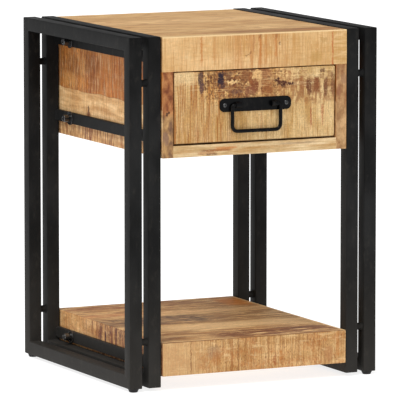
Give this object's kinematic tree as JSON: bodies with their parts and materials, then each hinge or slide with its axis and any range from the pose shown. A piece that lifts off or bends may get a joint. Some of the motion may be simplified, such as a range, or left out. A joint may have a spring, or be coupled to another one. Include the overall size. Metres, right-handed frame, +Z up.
{
  "type": "side table with drawer",
  "caption": "Side table: sawn-wood box with an inset drawer and a thick shelf, bolted between double rectangular frames of black square steel tube.",
  "frame": {"origin": "on the floor, under the middle of the whole table, handle included", "axes": "+X to the table's right as seen from the front, +Y to the back, so the drawer opens towards -Y, +Z up"},
  "size_m": [0.388, 0.38, 0.5],
  "materials": {
    "black_frame": "black powder coat, satin",
    "black_hardware": "black enamel, semi-gloss",
    "foot_plastic": "moulded black, matt",
    "board_wood": "planed and waxed, satin",
    "sawn_wood": "rough-sawn, thin clear lacquer",
    "inner_wood": "unfinished, matt"
  },
  "bodies": {
    "table": {"outer_frame_left": "black_frame", "inner_frame_left": "black_frame", "outer_frame_right": "black_frame", "inner_frame_right": "black_frame", "spacer_upper_front_left": "black_frame", "spacer_lower_front_left": "black_frame", "spacer_upper_back_left": "black_frame", "spacer_lower_back_left": "black_frame", "spacer_upper_front_right": "black_frame", "spacer_lower_front_right": "black_frame", "spacer_upper_back_right": "black_frame", "spacer_lower_back_right": "black_frame", "foot_front_left": "foot_plastic", "foot_back_left": "foot_plastic", "foot_front_right": "foot_plastic", "foot_back_right": "foot_plastic", "lower_bar_left": "black_frame", "middle_bar_left": "black_frame", "upper_bar_left": "black_frame", "lower_bar_right": "black_frame", "middle_bar_right": "black_frame", "upper_bar_right": "black_frame", "bolt_lower_front_left": "black_hardware", "bolt_lower_back_left": "black_hardware", "bolt_middle_front_left": "black_hardware", "bolt_middle_back_left": "black_hardware", "bolt_upper_front_left": "black_hardware", "bolt_upper_back_left": "black_hardware", "bolt_lower_front_right": "black_hardware", "bolt_lower_back_right": "black_hardware", "bolt_middle_front_right": "black_hardware", "bolt_middle_back_right": "black_hardware", "bolt_upper_front_right": "black_hardware", "bolt_upper_back_right": "black_hardware", "top_board": "board_wood", "top_front_rail": "sawn_wood", "side_panel_left": "sawn_wood", "side_panel_right": "sawn_wood", "bottom_panel": "sawn_wood", "back_panel": "inner_wood", "drawer_runner_left": "inner_wood", "drawer_runner_right": "inner_wood", "pull_out_stop": "inner_wood", "shelf_board": "board_wood", "shelf_rail_front": "sawn_wood", "shelf_rail_right": "sawn_wood", "shelf_rail_back": "sawn_wood", "shelf_rail_left": "sawn_wood"},
    "drawer": {"drawer_front": "sawn_wood", "drawer_side_left": "inner_wood", "drawer_side_right": "inner_wood", "drawer_back": "inner_wood", "drawer_bottom": "inner_wood", "handle_plate": "black_hardware", "handle_screw_left": "black_hardware", "handle_screw_right": "black_hardware"},
    "bail": {"handle_bail": "black_hardware"}
  },
  "joints": [
    {"name": "drawer_slide", "type": "slide", "parent": "table", "child": "drawer", "axis": [0, -1, 0], "range_m": [0, 0.2375]},
    {"name": "bail_hinge", "type": "hinge", "parent": "drawer", "child": "bail", "pos_m": [0, -0.186, 0.3995], "axis": [-1, 0, 0], "range_deg": [0, 170]}
  ]
}
